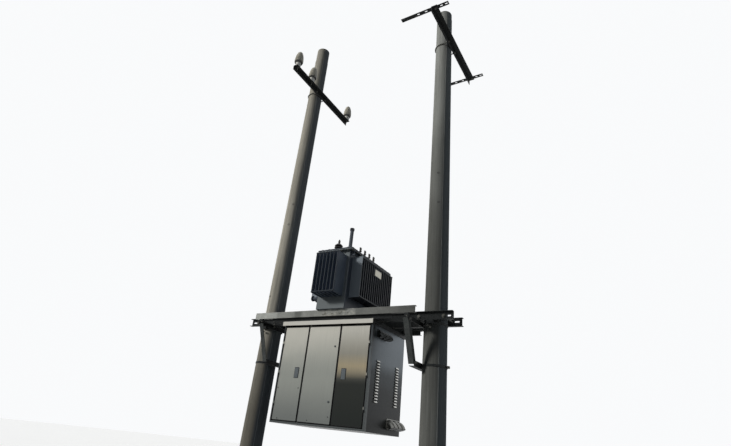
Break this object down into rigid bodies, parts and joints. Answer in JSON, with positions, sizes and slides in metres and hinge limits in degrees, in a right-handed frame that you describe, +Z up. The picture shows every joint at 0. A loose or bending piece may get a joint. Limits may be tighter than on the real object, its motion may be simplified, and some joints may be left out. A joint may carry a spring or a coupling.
{
  "type": "pole-mounted distribution transformer station",
  "caption": "Two-pole outdoor transformer station: oil transformer on a steel platform, steel switch cabinet below, crossarms above.",
  "frame": {"origin": "centre of the left pole's foot, at ground level", "axes": "+Z up, +X from the left pole to the right pole, +Y from the cabinet doors to its back"},
  "size_m": [3.14, 1.7216, 8.4],
  "materials": {
    "concrete": "rough",
    "galvanised_steel": "satin",
    "stainless_sheet": "brushed",
    "black_hardware": "satin",
    "slate_paint": "satin",
    "dark_porcelain": "gloss",
    "insulator_grey": "satin",
    "bare_plate": "satin"
  },
  "bodies": {
    "station": {"cabinet_back": "stainless_sheet", "cabinet_base": "stainless_sheet", "cabinet_left_side": "stainless_sheet", "cabinet_lid": "stainless_sheet", "cabinet_mullions": "stainless_sheet", "cabinet_right_side": "stainless_sheet", "cabinet_top_rail": "stainless_sheet", "cross_straps": "galvanised_steel", "cross_ties": "galvanised_steel", "door_hinges": "black_hardware", "drain_valve": "slate_paint", "front_fins": "slate_paint", "front_main_beam": "galvanised_steel", "front_platform_beam": "galvanised_steel", "hanger_rails": "galvanised_steel", "high_voltage_bushings": "dark_porcelain", "left_crossarm": "galvanised_steel", "left_fins": "slate_paint", "left_knee_braces": "galvanised_steel", "left_pole": "concrete", "lifting_lugs": "slate_paint", "low_voltage_bushings": "dark_porcelain", "lower_cable_elbows": "stainless_sheet", "lower_hoops": "galvanised_steel", "oil_filler_pipe": "slate_paint", "post_insulators": "insulator_grey", "rating_plate": "bare_plate", "rear_fins": "slate_paint", "rear_main_beam": "galvanised_steel", "rear_platform_beam": "galvanised_steel", "right_crossarm": "galvanised_steel", "right_fins": "slate_paint", "right_knee_braces": "galvanised_steel", "right_pole": "concrete", "transformer_lid": "slate_paint", "transformer_tank": "slate_paint", "upper_cable_elbows": "stainless_sheet", "upper_hoops": "galvanised_steel"},
    "left_leaf": {"left_door": "stainless_sheet", "left_door_handle": "stainless_sheet"},
    "centre_leaf": {"centre_door": "stainless_sheet", "centre_door_locks": "black_hardware"},
    "right_leaf": {"right_door": "stainless_sheet", "right_door_handle": "stainless_sheet"}
  },
  "joints": [
    {"name": "left_door_hinge", "type": "hinge", "parent": "station", "child": "left_leaf", "pos_m": [0.613, -0.416, 2.361], "axis": [0, 0, -1], "range_deg": [0, 110]},
    {"name": "centre_door_hinge", "type": "hinge", "parent": "station", "child": "centre_leaf", "pos_m": [1.004, -0.405, 2.377], "axis": [0, 0, -1], "range_deg": [0, 90]},
    {"name": "right_door_hinge", "type": "hinge", "parent": "station", "child": "right_leaf", "pos_m": [1.875, -0.416, 2.361], "axis": [0, 0, 1], "range_deg": [0, 110]}
  ]
}
